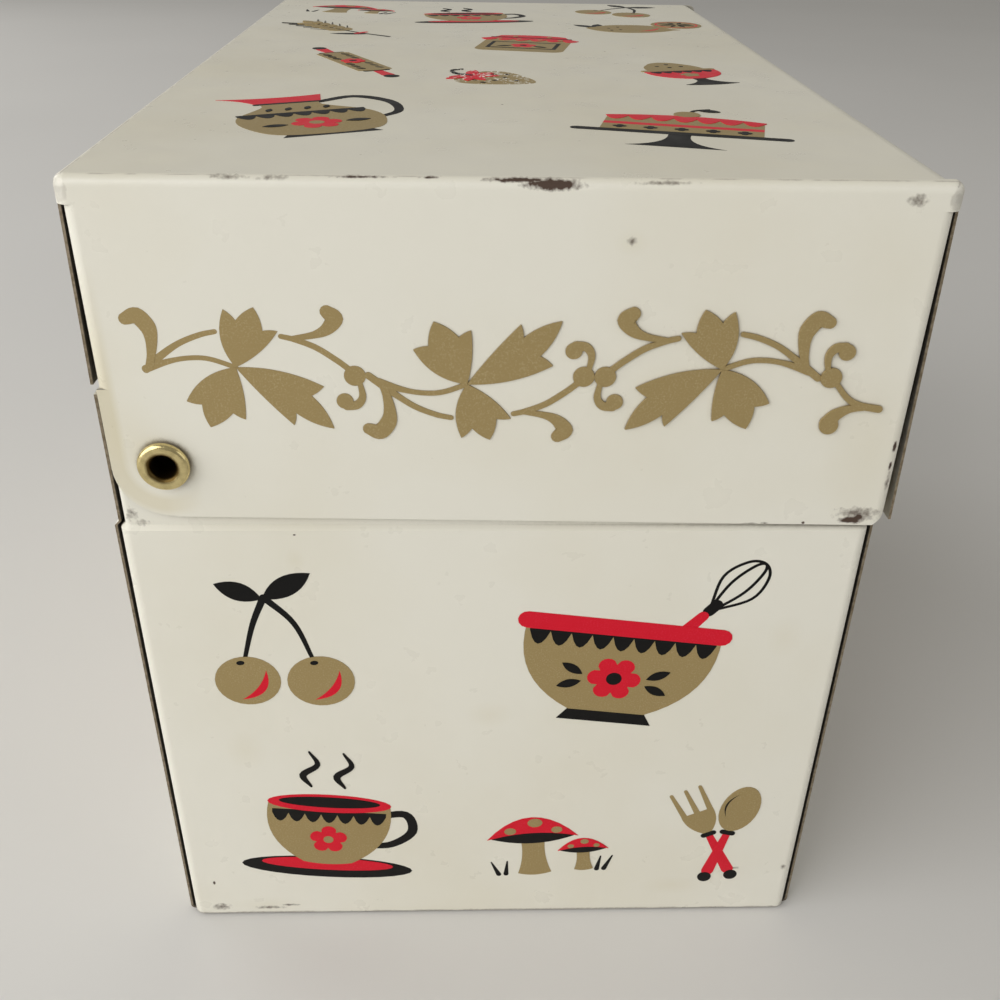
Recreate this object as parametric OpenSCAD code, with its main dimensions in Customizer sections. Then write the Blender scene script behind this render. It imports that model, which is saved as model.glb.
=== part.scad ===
// Hinged sheet-metal card box: a folded base, a folded lid and two tubular eyelets as the hinge.
// X runs along the box, the front is at -Y, the hinge side at +Y, and Z is up from the surface it stands on.

/* [Base] */
// Length of the base over its end panels
base_len = 137.9; // [110:1:180]
// Depth of the base over its front and back walls
base_dep = 81.3; // [60:1:120]
// Height at which the walls start to draw in to the neck
step_h = 61.4; // [50:0.5:90]
// How far the neck is drawn in on every side
neck_in = 0.5; // [0.4:0.05:0.7]
// Height of the slanted step below the neck
step_rise = 0.5; // [0.4:0.1:1]
// Height of the neck above the step
neck_h = 15; // [13:0.5:24]
// Depth of the folded hem inside the rim
hem_h = 3.4; // [2:0.2:4]

/* [Lid] */
// Height of the closed box
box_h = 98.3; // [94:0.5:125]
// Gap between an end flap and the neck beside it
flap_gap = 0.25; // [0.2:0.05:0.4]
// Height of the flaps' lower edge above the neck's foot, at the front
flap_lift = 0.2; // [0.2:0.1:1]
// How much higher the flaps' lower edge is at the back than at the front
flap_rise = 1.2; // [0:0.1:1.2]
// How far the lid's ends reach past the base's front wall
lid_front_over = 0.6; // [0.5:0.1:3]
// How far the lid's ends stop short of the base's back wall
lid_back_in = 1.3; // [1.1:0.05:2]
// How far the front skirt leans out towards its lower edge
front_flare = 0.55; // [0:0.05:1]
// How far the back skirt leans out towards its lower edge
back_flare = 0.3; // [0:0.05:0.4]
// Gap between the rim and the back skirt above it
back_gap = 0.8; // [0.6:0.1:3]
// Radius of a flap's rear lower corner
flap_corner_r = 5.6; // [3:0.2:6]
// Length of the cut-off at a flap's front lower corner
flap_cut_y = 1.3; // [0.6:0.1:3]
// Height of the cut-off at a flap's front lower corner
flap_cut_z = 1.2; // [0.6:0.1:3]

/* [Sheet] */
// Thickness of the tinplate
sheet = 0.28; // [0.2:0.01:0.32]
// Outer radius of the upright bends at the ends of the base and lid
bend_r = 1.2; // [1.15:0.05:1.6]
// Outer radius of the folds at the top's ends and back
fold_r = 1; // [0.8:0.05:1.6]
// Outer radius of the fold between the top and the front skirt
front_fold_r = 2.4; // [1.6:0.1:2.6]
// How far down the lid's corners are drawn in one piece with the top
corner_h = 2.6; // [2.6:0.1:5]
// Outer radius of the folds round the floor
floor_r = 0.6; // [0.45:0.05:1.2]
// Gap between a skirt of the lid and the flange tucked behind it
seam_gap = 0.32; // [0.1:0.02:0.4]
// Gap between a wall of the base and the flange tucked behind it
base_gap = 0.46; // [0.1:0.02:0.5]
// Width of a tucked flange
flange_w = 9; // [5:0.5:14]

/* [Hinge] */
// Distance of the hinge axis from the back edge of the flap
hinge_in = 5.45; // [5:0.05:5.6]
// Height of the hinge axis above the lower edge of the flap, at the back
hinge_up = 6.2; // [6:0.05:7]
// Bore of the eyelet
eyelet_bore = 2.6; // [2:0.1:3.4]
// Wall of the eyelet's barrel
eyelet_wall = 0.35; // [0.25:0.05:0.5]
// Width of the rolled rim outside the barrel
roll_w = 1; // [0.5:0.05:1.1]
// Height of the rolled rim
roll_h = 1; // [0.6:0.05:1.2]
// Gap under the eyelet's rim, so that the flap turns freely
rim_gap = 0.08; // [0.05:0.01:0.15]
// Running clearance between the barrel and the flap's hole, on the radius
flap_fit = 0.06; // [0.03:0.01:0.1]
// Clearance between the barrel and the holes of the base and washer, on the radius
seat_fit = 0.02; // [0.01:0.01:0.05]
// Width of the washer's ring
washer_w = 1.5; // [1:0.1:1.6]
// Thickness of the washer
washer_t = 0.4; // [0.3:0.05:0.8]

/* [Hidden] */
$fn = 48;

// How far neighbouring stretches of one sheet run into each other
lap = 0.01;

end_x = base_len / 2;
wall_y = base_dep / 2;
flange_y = wall_y - sheet - base_gap;
neck_foot = step_h + step_rise;
rim_h = neck_foot + neck_h;
neck_x = end_x - neck_in;
// The hem of the long walls stops short of the tucked flanges
hem_x = end_x - bend_r - flange_w - sheet;

lid_x = neck_x + flap_gap + sheet;
lid_front = -wall_y - lid_front_over;
lid_back = wall_y - lid_back_in;
skirt_front = lid_front - sheet - seam_gap;
skirt_back = lid_back + sheet + seam_gap;
flap_foot = neck_foot + flap_lift;
flap_foot_back = flap_foot + flap_rise;
back_foot = rim_h + back_gap;
corner_foot = box_h - corner_h;

hinge_y = lid_back - hinge_in;
hinge_z = flap_foot_back + hinge_up;
barrel_r = eyelet_bore / 2 + eyelet_wall;

// The finished box is centred on its own outline, front to back
shift_y = (abs(skirt_front - front_flare) - wall_y) / 2;

module in_frame() translate([0, shift_y, 0]) children();

// Both ends of the box are the same, mirrored
module both_ends() for (m = [0, 1]) mirror([m, 0, 0]) children();
module both_sides() for (m = [0, 1]) mirror([0, m, 0]) children();

// A profile drawn in Y and Z, run along X between two places
module along_x(x0, x1) translate([x0, 0, 0]) rotate([90, 0, 90]) linear_extrude(height = x1 - x0) children();

// A profile drawn in X and Z, run along Y between two places
module along_y(y0, y1) translate([0, y1, 0]) rotate([90, 0, 0]) linear_extrude(height = y1 - y0) children();

// A quarter of a sheet bend of outer radius r about the origin, with a short straight tail at each end
module bend_2d(r) {
    intersection() {
        difference() {
            circle(r);
            circle(r - sheet);
        }
        square(r);
    }
    translate([r - sheet, -lap]) square([sheet, 2 * lap]);
    translate([-lap, r - sheet]) square([2 * lap, sheet]);
}

// What a corner's section about its upright axis has above the wall: the fold, and the sheet beyond it
module corner_fold_2d(r) {
    intersection() {
        translate([bend_r - r, 0]) bend_2d(r);
        translate([0, -lap]) square([bend_r, r + lap]);
    }
    if (bend_r > r) translate([0, r - sheet]) square([bend_r - r, sheet]);
}

// One wall of the base in outline, from its upright bottom end to the neck, its outside at w
module wall_2d(w, z0, z1)
    polygon([[w - sheet, z0], [w, z0], [w, step_h], [w - neck_in, neck_foot], [w - neck_in, z1],
             [w - neck_in - sheet, z1], [w - neck_in - sheet, neck_foot], [w - sheet, step_h]]);

// The hem: the sheet doubled inwards at the rim, with a round upper edge
module hem_2d(w) {
    translate([w - neck_in - 2 * sheet, rim_h - hem_h]) square([2 * sheet, hem_h - sheet]);
    translate([w - neck_in - sheet, rim_h - sheet]) circle(sheet);
}

// Half of the folded channel that is the floor and one wall, its outside at w
module base_half_2d(w) {
    square([w - floor_r, sheet]);
    translate([w - floor_r, floor_r]) mirror([0, 1]) bend_2d(floor_r);
    wall_2d(w, floor_r, rim_h - sheet);
}

module base_corner() translate([end_x - bend_r, flange_y - bend_r, 0]) rotate_extrude(angle = 90) {
    wall_2d(bend_r, floor_r, rim_h - sheet);
    translate([0, floor_r]) mirror([0, 1]) corner_fold_2d(floor_r);
}

module hinge_hole(r) translate([0, hinge_y, hinge_z]) rotate([0, 90, 0]) cylinder(r = r, h = 2 * end_x);

// Floor, front and back walls, end panels, and the flanges tucked behind the walls
module base_shell() color("ivory") in_frame() difference() {
    union() {
        both_sides() {
            along_x(bend_r - end_x, end_x - bend_r) base_half_2d(wall_y);
            along_x(-hem_x, hem_x) hem_2d(wall_y);
        }
        both_ends() {
            along_y(bend_r - flange_y, flange_y - bend_r) {
                base_half_2d(end_x);
                hem_2d(end_x);
            }
            both_sides() {
                base_corner();
                along_x(end_x - bend_r - flange_w, end_x - bend_r)
                    wall_2d(flange_y, floor_r + sheet, rim_h - sheet);
            }
        }
    }
    both_ends() hinge_hole(barrel_r + seat_fit);
}

// A skirt of the lid, hanging from a fold of radius r at the top and leaning out by flare
module skirt_2d(y, r, foot, flare) {
    translate([y - r, box_h - r]) bend_2d(r);
    polygon([[y - sheet, box_h - r], [y, box_h - r], [y + flare, foot], [y + flare - sheet, foot]]);
}

// Top with both skirts, across the box
module lid_channel_2d() {
    translate([skirt_front + front_fold_r, box_h - sheet])
        square([skirt_back - skirt_front - front_fold_r - fold_r, sheet]);
    skirt_2d(skirt_back, fold_r, back_foot, back_flare);
    mirror([1, 0]) skirt_2d(-skirt_front, front_fold_r, flap_foot, front_flare);
}

// Web between the tight fold of a front corner and the wider fold beside it
module front_web_2d() translate([skirt_front + front_fold_r, box_h - front_fold_r]) mirror([1, 0])
    difference() {
        intersection() {
            square(front_fold_r);
            union() {
                translate([front_fold_r - fold_r, front_fold_r - fold_r]) circle(fold_r);
                square([front_fold_r, front_fold_r - fold_r]);
                square([front_fold_r - fold_r, front_fold_r]);
            }
        }
        circle(front_fold_r - sheet);
    }

// Outline of an end flap, with its round rear corner
module flap_2d() difference() {
    polygon([[lid_front + bend_r, flap_foot], [lid_back, flap_foot_back], [lid_back, back_foot],
             [lid_back - bend_r, back_foot], [lid_back - bend_r, box_h - fold_r],
             [lid_front + bend_r, box_h - fold_r]]);
    translate([lid_back - flap_corner_r, flap_foot_back + flap_corner_r]) difference() {
        translate([0, -flap_corner_r * 2]) square(flap_corner_r * 2);
        circle(flap_corner_r);
    }
}

// What is cut off at a flap's front lower corner
module flap_cut_2d()
    polygon([[lid_front - lap, flap_foot - lap], [lid_front + flap_cut_y, flap_foot - lap],
             [lid_front + flap_cut_y, flap_foot], [lid_front - lap, flap_foot + flap_cut_z]]);

// Upright bend and tucked flange at one corner of the lid
module lid_corner(y, foot, side) translate([0, y, 0]) mirror([0, side, 0]) {
    translate([lid_x - bend_r, -bend_r, 0]) rotate_extrude(angle = 90)
        polygon([[bend_r - sheet, foot], [bend_r, foot],
                 [bend_r, corner_foot], [bend_r - sheet, corner_foot]]);
    translate([lid_x - bend_r - flange_w, -sheet, foot]) cube([flange_w, sheet, corner_foot - foot]);
}

// One corner of the top, where the folded layers meet and fill it
module drawn_corner(y, side) translate([lid_x - bend_r, y, 0]) mirror([0, side, 0])
    translate([0, -bend_r, 0]) rotate_extrude(angle = 90) intersection() {
        translate([0, corner_foot]) square([bend_r, corner_h]);
        union() {
            translate([bend_r - fold_r, box_h - fold_r]) circle(fold_r);
            square([bend_r, box_h - fold_r]);
            if (bend_r > fold_r) square([bend_r - fold_r, box_h]);
        }
    }

// The top's fold at an end, the strip below it and what fills the top up to the fold
module end_fold() {
    along_y(skirt_front + bend_r, skirt_back - bend_r) {
        translate([lid_x - fold_r, box_h - fold_r]) bend_2d(fold_r);
        translate([lid_x - sheet, corner_foot]) square([sheet, corner_h - fold_r]);
        if (bend_r + sheet > fold_r)
            translate([lid_x - bend_r - sheet, box_h - sheet]) square([bend_r + sheet - fold_r, sheet]);
    }
    along_x(lid_x - bend_r - sheet, lid_x - bend_r) front_web_2d();
}

// Top, front and back skirts, end flaps, and the flanges tucked behind the skirts
module lid_shell() color("ivory") in_frame() difference() {
    union() {
        along_x(bend_r - lid_x, lid_x - bend_r) lid_channel_2d();
        both_ends() {
            end_fold();
            drawn_corner(skirt_back, 0);
            drawn_corner(skirt_front, 1);
            lid_corner(lid_back, back_foot, 0);
            difference() {
                union() {
                    along_x(lid_x - sheet, lid_x) flap_2d();
                    lid_corner(lid_front, flap_foot, 1);
                }
                along_x(lid_x - bend_r - flange_w - sheet, lid_x + sheet) flap_cut_2d();
            }
        }
    }
    both_ends() hinge_hole(barrel_r + flap_fit);
}

// Half section of a rolled edge standing on the line y = 0, reaching out from the bore
module roll_2d() intersection() {
    translate([eyelet_bore / 2, 0]) square([eyelet_wall + roll_w, roll_h]);
    translate([eyelet_bore / 2 + (eyelet_wall + roll_w) / 2, roll_h / 2])
        round_block_2d(eyelet_wall + roll_w, roll_h);
}

// A rounded block as wide and high as the roll, made of two half rounds and a middle
module round_block_2d(w, h) {
    r = min(w, h) / 2;
    for (s = [-1, 1]) translate([s * (w / 2 - r), s * (h / 2 - r)]) circle(r);
    for (s = [-1, 1]) translate([s * (w / 2 - r), -s * (h / 2 - r)]) circle(r);
    square([w, h - 2 * r + lap], center = true);
    square([w - 2 * r + lap, h], center = true);
}

// Tubular eyelet: rolled rim outside the flap, barrel through both sheets, clinched roll inside
module eyelet() in_frame() translate([0, hinge_y, hinge_z]) rotate([0, 90, 0]) rotate_extrude() {
    outside = lid_x + rim_gap;
    inside = neck_x - sheet - washer_t - 2 * seat_fit;
    translate([0, outside]) roll_2d();
    translate([0, inside]) mirror([0, 1]) roll_2d();
    translate([eyelet_bore / 2, inside - roll_h / 2]) square([eyelet_wall, outside - inside + roll_h]);
}

module washer() in_frame() translate([0, hinge_y, hinge_z]) rotate([0, 90, 0]) rotate_extrude()
    translate([barrel_r + seat_fit, neck_x - sheet - washer_t - seat_fit]) square([washer_w, washer_t]);

module eyelet_left() color("darkgoldenrod") mirror([1, 0, 0]) eyelet();
module eyelet_right() color("darkgoldenrod") eyelet();
module washer_left() color("darkkhaki") mirror([1, 0, 0]) washer();
module washer_right() color("darkkhaki") washer();

base_shell();
lid_shell();
eyelet_left();
eyelet_right();
washer_left();
washer_right();
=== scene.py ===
"""Looks of a hinged tin card box: enamel, printed borders and motifs, brass eyelets, stage and camera."""

import math
from functools import partial

import bmesh
import bpy
from bpy.props import FloatProperty, FloatVectorProperty, PointerProperty
from mathutils import Matrix, Vector


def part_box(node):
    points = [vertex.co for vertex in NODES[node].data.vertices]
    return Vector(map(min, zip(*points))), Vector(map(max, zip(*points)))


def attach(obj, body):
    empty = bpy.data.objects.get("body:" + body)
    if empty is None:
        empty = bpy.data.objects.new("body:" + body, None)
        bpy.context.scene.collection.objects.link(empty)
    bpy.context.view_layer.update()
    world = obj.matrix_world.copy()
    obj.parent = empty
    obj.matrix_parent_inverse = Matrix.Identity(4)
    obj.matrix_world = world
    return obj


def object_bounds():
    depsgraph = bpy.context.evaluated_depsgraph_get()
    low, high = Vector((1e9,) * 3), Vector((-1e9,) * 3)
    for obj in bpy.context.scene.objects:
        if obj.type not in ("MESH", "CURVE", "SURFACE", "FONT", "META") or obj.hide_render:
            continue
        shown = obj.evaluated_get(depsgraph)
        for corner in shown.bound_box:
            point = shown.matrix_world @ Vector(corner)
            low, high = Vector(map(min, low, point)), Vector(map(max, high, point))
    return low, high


bl_info = {
    "name": "Tin Card Box",
    "version": (1, 0, 0),
    "blender": (4, 5, 0),
    "location": "3D View > Sidebar > Card Box",
    "description": "Enamel, printed decoration, brass eyelets and a studio stage for a tin card box",
    "category": "Object",
}

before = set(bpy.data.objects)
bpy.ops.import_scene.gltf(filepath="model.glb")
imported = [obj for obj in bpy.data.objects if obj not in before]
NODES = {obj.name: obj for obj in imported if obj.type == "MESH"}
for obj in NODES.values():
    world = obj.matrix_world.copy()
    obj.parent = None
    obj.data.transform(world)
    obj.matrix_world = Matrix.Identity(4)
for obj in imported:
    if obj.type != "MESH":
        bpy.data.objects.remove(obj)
CAD_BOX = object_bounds()
MM = 0.001

BASE_LOW, BASE_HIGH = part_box("base_shell")
LID_LOW, LID_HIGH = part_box("lid_shell")
EYELET_LOW, EYELET_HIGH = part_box("eyelet_left")
MID_Y = (BASE_LOW.y + BASE_HIGH.y) / 2
HINGE = (EYELET_LOW + EYELET_HIGH) / 2

# Depth of the base's doubled rim and of the lid's back skirt
HEM, BACK_SKIRT = 3.4 * MM, 20.6 * MM

# The three inks, in the order of their material slots on a print
GOLD, RED, BLACK = range(3)


def linear(hex_colour):
    """Linear red, green and blue of an sRGB hex colour."""
    shares = [int(hex_colour[i : i + 2], 16) / 255 for i in (0, 2, 4)]
    return tuple(s / 12.92 if s <= 0.04045 else ((s + 0.055) / 1.055) ** 2.4 for s in shares)


def rgba(colour):
    """A colour as a shader socket takes it, from a hex value or from a property."""
    return (*(linear(colour) if isinstance(colour, str) else colour), 1)


# Settings

# What every colour and every lamp's power has in common
COLOUR = {"subtype": "COLOR", "min": 0, "max": 1}
POWER = {"subtype": "POWER", "unit": "POWER", "min": 0, "max": 100}


class EnamelSettings(bpy.types.PropertyGroup):
    """The baked enamel and the tinplate under it."""

    clean: FloatVectorProperty(
        name="Enamel", description="Colour of the clean enamel", default=linear("ECE9DC"), **COLOUR)
    # The aged colour also gives the painted warmer, darker tone of the faces that look up
    aged: FloatVectorProperty(
        name="Aged enamel", description="Colour where the enamel has yellowed",
        default=linear("DDD5BB"), **COLOUR)
    steel: FloatVectorProperty(
        name="Tinplate", description="Colour of the bare sheet", default=linear("CBC8BF"), **COLOUR)
    rust: FloatVectorProperty(
        name="Rust", description="Colour of the rusted sheet in a chip", default=linear("4A382C"), **COLOUR)
    wear: FloatProperty(
        name="Fold wear", description="How much enamel the folds have lost", subtype="FACTOR", min=0, max=1,
        default=0.5)


class PrintSettings(bpy.types.PropertyGroup):
    """The three screen-printed inks and the leaf border."""

    gold: FloatVectorProperty(
        name="Gold ink", description="Colour of the bronze-powder ink", default=linear("A69163"), **COLOUR)
    red: FloatVectorProperty(
        name="Red ink", description="Colour of the red ink", default=linear("DA102B"), **COLOUR)
    black: FloatVectorProperty(
        name="Black ink", description="Colour of the black ink", default=linear("060505"), **COLOUR)
    film: FloatProperty(
        name="Film", description="Thickness of one layer of ink", subtype="DISTANCE", unit="LENGTH",
        min=0.000004, max=0.00002, default=0.000006)
    border_height: FloatProperty(
        name="Border height", description="Height of the border's centre line above the foot of the box",
        subtype="DISTANCE", unit="LENGTH", min=0.076, max=0.086, default=0.0793)
    motif_size: FloatProperty(
        name="Motif size", description="Size of the kitchen motifs, as a share of their drawn size",
        subtype="FACTOR", min=0.6, max=1.2, default=1)


class BrassSettings(bpy.types.PropertyGroup):
    """The eyelets and washers of the hinge."""

    bright: FloatVectorProperty(
        name="Rubbed brass", description="Colour where the brass is rubbed",
        default=linear("DCCB94"), **COLOUR)
    tarnish: FloatVectorProperty(
        name="Tarnish", description="Colour of the tarnished brass", default=linear("5C4A28"), **COLOUR)


class StageSettings(bpy.types.PropertyGroup):
    """Floor, lamps and camera."""

    floor: FloatVectorProperty(
        name="Floor", description="Colour of the floor", default=linear("DCDAD6"), **COLOUR)
    floor_size: FloatProperty(
        name="Floor size", description="Length of the floor's side", subtype="DISTANCE", unit="LENGTH",
        min=1, max=20, default=8)
    lens: FloatProperty(
        name="Lens", description="Focal length on a 36 mm frame", subtype="DISTANCE_CAMERA", unit="CAMERA",
        min=20, max=100, default=38.35)
    key: FloatProperty(
        name="Key lamp", description="Power of the large soft lamp", default=5.1, **POWER)
    fill: FloatProperty(
        name="Fill lamp", description="Power of the weaker lamp on the other side", default=0.9, **POWER)
    back: FloatProperty(
        name="Back lamp", description="Power of the lamp behind the box", default=2.5, **POWER)
    sky: FloatProperty(
        name="Surrounding light", description="Strength of the light from all round", min=0, max=2,
        default=0.35)


# Materials


# What a Mix node needs to mix two colours, its sockets 6 and 7, by its socket 0. Without this it mixes two
# numbers, its sockets 2 and 3
OF_COLOURS = {"out": 2, "data_type": "RGBA"}


def add_node(tree, kind, sockets=(), out=0, **settings):
    """Adds one node, such as "Bump" or "Math ADD", with its settings, and returns one output.

    The sockets are filled with values or links, in order from a list or by name or number from a dict.
    """
    kind, _, operation = kind.partition(" ")
    node = tree.nodes.new("ShaderNode" + kind)
    if operation:
        node.operation = operation
    for name, value in settings.items():
        setattr(node, name, value)
    for socket, value in (sockets if isinstance(sockets, dict) else dict(enumerate(sockets))).items():
        if isinstance(value, bpy.types.NodeSocket):
            tree.links.new(value, node.inputs[socket])
        else:
            node.inputs[socket].default_value = value
    return node.outputs[out] if node.outputs else None


def new_material(name):
    """An empty material and the function that adds a node to it."""
    material = bpy.data.materials.new(name)
    material.use_nodes = True
    material.node_tree.nodes.clear()
    return material, partial(add_node, material.node_tree)


def here_mm(add):
    """Place on the piece, in millimetres of the frame at rest."""
    return add("VectorMath SCALE", {0: add("TexCoord", out="Object"), "Scale": 1 / MM})


# Wear that the photographed end shows, in millimetres right of and above the middle of its foot, with
# half its width and half its height: dark rusty chips, brown smudges, rubbed bare places, pale stains.
# The two rubbed places at the top corners are painted highlights, and the two broad stains by the upper
# front edge are painted shade
CHIPS = (
    (4.4, 97.85, 3.1, 0.66), (1.4, 98.15, 4.2, 0.26), (-12.8, 98.25, 3.4, 0.14), (-6.6, 98.25, 1.4, 0.12),
    (37.6, 62.75, 1.7, 0.5), (38.3, 63.1, 0.8, 0.45), (32.5, 62.4, 0.24, 0.22), (40.5, 71.5, 0.26, 0.8),
    (40.5, 69.3, 0.24, 0.6), (-36.6, 6.4, 0.22, 0.44), (-33, 63.05, 0.5, 0.2), (-21.6, 60.9, 0.18, 0.12),
)
SMUDGES = (
    (37.4, 96.75, 1.1, 0.6), (40.6, 67.4, 0.3, 1.3), (38.2, 63.6, 2.6, 0.9), (28.4, 62.35, 0.5, 0.2),
    (26.7, 62.3, 1.0, 0.16), (-29.8, 1.4, 2.3, 0.34), (-27, 1.9, 1.4, 0.24), (31.8, 8.3, 1.0, 0.3),
    (-38.5, 63.2, 0.8, 0.9), (-37.4, 62.2, 1.0, 0.4), (11.8, 92.8, 0.5, 0.5), (-36.2, 1.7, 1.4, 0.7),
    (38.6, 8.4, 0.5, 0.5), (-20.5, 98.2, 1.5, 0.3), (-24.5, 98.2, 2.0, 0.24), (14.5, 98, 3, 0.2),
)
# The two about 97 mm up, at the top corners, are painted highlights; the rest are rubbed bare places
RUBS_AND_HIGHLIGHTS = (
    (39.7, 0.9, 0.6, 0.7), (-39.9, 0.7, 0.4, 0.5), (-39.4, 97, 1, 1.3), (41.2, 96.8, 1, 1.2),
    (39.4, 63, 0.5, 0.3),
)
# The last two, broad and by the upper front edge, are painted shade; the others are stains
STAINS_AND_SHADE = (
    (11.8, 92.6, 1.8, 1.4), (-0.6, 35.5, 3.0, 2.2), (-21.8, 57.6, 1.2, 1.8), (-36.5, 72, 3.2, 5.2),
    (24, 5, 4.5, 1.8), (-30, 30, 2.6, 3.4), (33, 47, 2.3, 3.2), (30, 8, 3.4, 1.4), (37, 90, 8, 9),
    (-30, 2, 6, 1.6), (38, 70, 5, 10),
)


# How deep a mark goes, in millimetres, and a nearness that is far from every mark
MARK_DEPTH, FAR = 1.2, 9.0


def nearness(add, place, marks, end_x):
    """How near the surface is to one of the marks on an end: 0 at the middle of a mark, 1 at its rim."""
    nearest = FAR
    for right, up, half_width, half_height in marks:
        reach = Vector((MARK_DEPTH, half_width, half_height))
        middle = Vector((end_x, MID_Y / MM - right, up))
        inverse = [1 / r for r in reach]
        shift = [-m / r for m, r in zip(middle, reach)]
        offset = add("VectorMath MULTIPLY_ADD", [place, inverse, shift])
        distance = add("VectorMath LENGTH", [offset], out="Value")
        nearest = add("Math MINIMUM", [nearest, distance])
    return nearest


def enamelled_tinplate(name, low, high, folds_up, hem):
    """Cream baked enamel outside, bare tinplate inside.

    Semi-gloss stoving enamel, rolled on the flat sheet before folding: smooth, slightly yellowed in
    clouds, with fine specks and faint stains. The folds have cracked and rubbed through to grey tin in
    dashes, and where damp got in, the steel has rusted brown. Grime sits in the seams and under the
    flaps, and their shade is painted in there as darkening. The faces that look up are painted warmer
    and darker, for the light that falls on the top. Two broad stains by the upper front edge of the end
    are painted shade, and two rubbed places at its top corners are painted highlights. The cut edges
    are raw, and the inside is plain tinplate, dull silver.
    folds_up is 1 where the shell is folded at its top and -1 where it is folded at its foot; hem is how
    far down from its top the inside face is enamelled too.
    """
    settings = bpy.context.scene.card_box_enamel
    material, add = new_material(name)
    place = here_mm(add)
    normal = add("TexCoord", out="Normal")
    centre = (low + high) / 2 / MM
    half = (high - low) / 2 / MM

    # How far inside the shell's outline the surface lies, in millimetres, along each axis
    from_centre = add("VectorMath SUBTRACT", [place, centre])
    away = add("VectorMath ABSOLUTE", [from_centre])
    inset = add("VectorMath SUBTRACT", [half, away])
    inset_x, inset_y = (add("SeparateXYZ", [inset], out=axis) for axis in "XY")
    level = add("SeparateXYZ", [from_centre], out="Z")
    inset_z = add("Math MULTIPLY_ADD", [level, -folds_up, half.z])

    # Noise fields: clouds of about 30 mm, patches of 4 mm, ragged rims of 0.5 mm and grit of 0.15 mm
    clouds, patches, ragged, grit = (add("TexNoise", {"Vector": place, "Scale": 1 / size, "Detail": detail})
                                     for size, detail in ((30, 3), (4, 4), (0.5, 4), (0.15, 1)))
    rough_rim = add("MapRange", [ragged, 0.25, 0.75, -0.45, 0.45])

    # Rubbed folds: a line across the crest of a fold, broken into dashes by the patches. Across a fold,
    # one inset less the other runs from -1 where the wall begins to 1 where the top begins
    crest_at = 0.72 if folds_up > 0 else -0.5
    dash = add("MapRange", [patches, 0.36, 0.5, -0.12, 0.1 + 0.2 * settings.wear])
    rubbed = 0.0
    for across, lean in ((inset_x, 0), (inset_y, 0.42 if folds_up > 0 else 0)):
        fold = add("Math SUBTRACT", [across, inset_z])
        off_crest = add("Math ABSOLUTE", [add("Math SUBTRACT", [fold, crest_at + lean])])
        off_crest = add("Math MULTIPLY_ADD", [rough_rim, 0.16, off_crest])
        depth = add("Math SUBTRACT", [dash, off_crest])
        near_fold = add("Math LESS_THAN", [add("Math ADD", [across, inset_z]), 1.6 + lean])
        line = add("Math MULTIPLY", [add("MapRange", [depth, 0, 0.25]), near_fold])
        rubbed = add("Math MAXIMUM", [rubbed, line])

    # Marks of the photographed end
    masks = []
    kinds = ((CHIPS, 0.45, 0.55), (SMUDGES, 0.9, 0.9), (RUBS_AND_HIGHLIGHTS, 0.7, 0.5), (STAINS_AND_SHADE, 1, 0))
    for marks, softness, wobble in kinds:
        distance = nearness(add, place, marks, low.x / MM)
        distance = add("Math MULTIPLY_ADD", [rough_rim, wobble, distance])
        masks.append(add("MapRange", [distance, 1, 1 - softness]))
    chipped, smudged, rubbed_places_and_highlights, stained_and_shaded = masks

    # Pinhead rust specks: one cell in seven is dark
    cells = {"Vector": place, "Scale": 1 / 3.2}
    lot = add("SeparateColor", [add("TexVoronoi", cells, out="Color")])
    chosen = add("Math GREATER_THAN", [lot, 0.86])
    pin = add("Math MULTIPLY_ADD", [rough_rim, 0.06, add("TexVoronoi", cells)])
    specks = add("Math MULTIPLY", [add("MapRange", [pin, 0.055, 0.03]), chosen])

    # Yellowed band that follows the flap's rear edge and its round corner, about the hinge
    offset = add("VectorMath SUBTRACT", [place, HINGE / MM])
    behind, above = (add("SeparateXYZ", [offset], out=axis) for axis in "YZ")
    below = add("Math MINIMUM", [above, 0])
    arm = add("CombineXYZ", [0, behind, below])
    radius = add("VectorMath LENGTH", [arm], out="Value")
    band = add("MapRange", [radius, 3.5, 4.3])
    for fade in ((radius, 6.4, 5.4), (behind, -3.5, 0.5), (above, 22, 8)):
        band = add("Math MULTIPLY", [band, add("MapRange", fade)])

    # Dirt and painted shade in narrow places: ambient occlusion darkens the seams, the line under a flap and
    # the rim of an eyelet, for the dirt there and for their shade
    openness = add("AmbientOcclusion", {"Distance": 0.9 * MM}, out="AO", samples=8)
    openness = add("Math MULTIPLY_ADD", [rough_rim, 0.1, openness])
    grime_and_painted_shade = add("MapRange", [openness, 0.8, 0.45, 0, 0.85])

    # Enamel colour: clean, yellowed in clouds and by the hinge, with stains, and on faces that look up a
    # painted warmer, darker tone for the light on the top
    facing_up_painted_light = add("SeparateXYZ", [normal], out="Z")
    yellowed = add("MapRange", [clouds, 0.42, 0.7, 0, 0.3])
    # Painted light: faces that look up are tinted towards the aged colour, warmer and darker, for the light
    # on the top
    yellowed = add("Math MULTIPLY_ADD", [add("MapRange", [facing_up_painted_light, 0.5, 1]), 0.35, yellowed])
    yellowed = add("Math MULTIPLY_ADD", [band, 0.7, yellowed])
    # Stains tint the enamel towards the aged colour; the two broad ones by the upper front edge are painted
    # shade
    yellowed = add("Math MULTIPLY_ADD", [stained_and_shaded, 0.22, yellowed], use_clamp=True)
    enamel = add("Mix", {0: yellowed, 6: rgba(settings.clean), 7: rgba(settings.aged)}, **OF_COLOURS)
    smudge = add("Math MULTIPLY", [smudged, 0.85])
    enamel = add("Mix", {0: smudge, 6: enamel, 7: rgba("54443A")}, **OF_COLOURS)
    # Painted shade: narrow places darken towards 6E6354, together with the dirt there
    enamel = add("Mix", {0: grime_and_painted_shade, 6: enamel, 7: rgba("6E6354")}, **OF_COLOURS)

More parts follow.
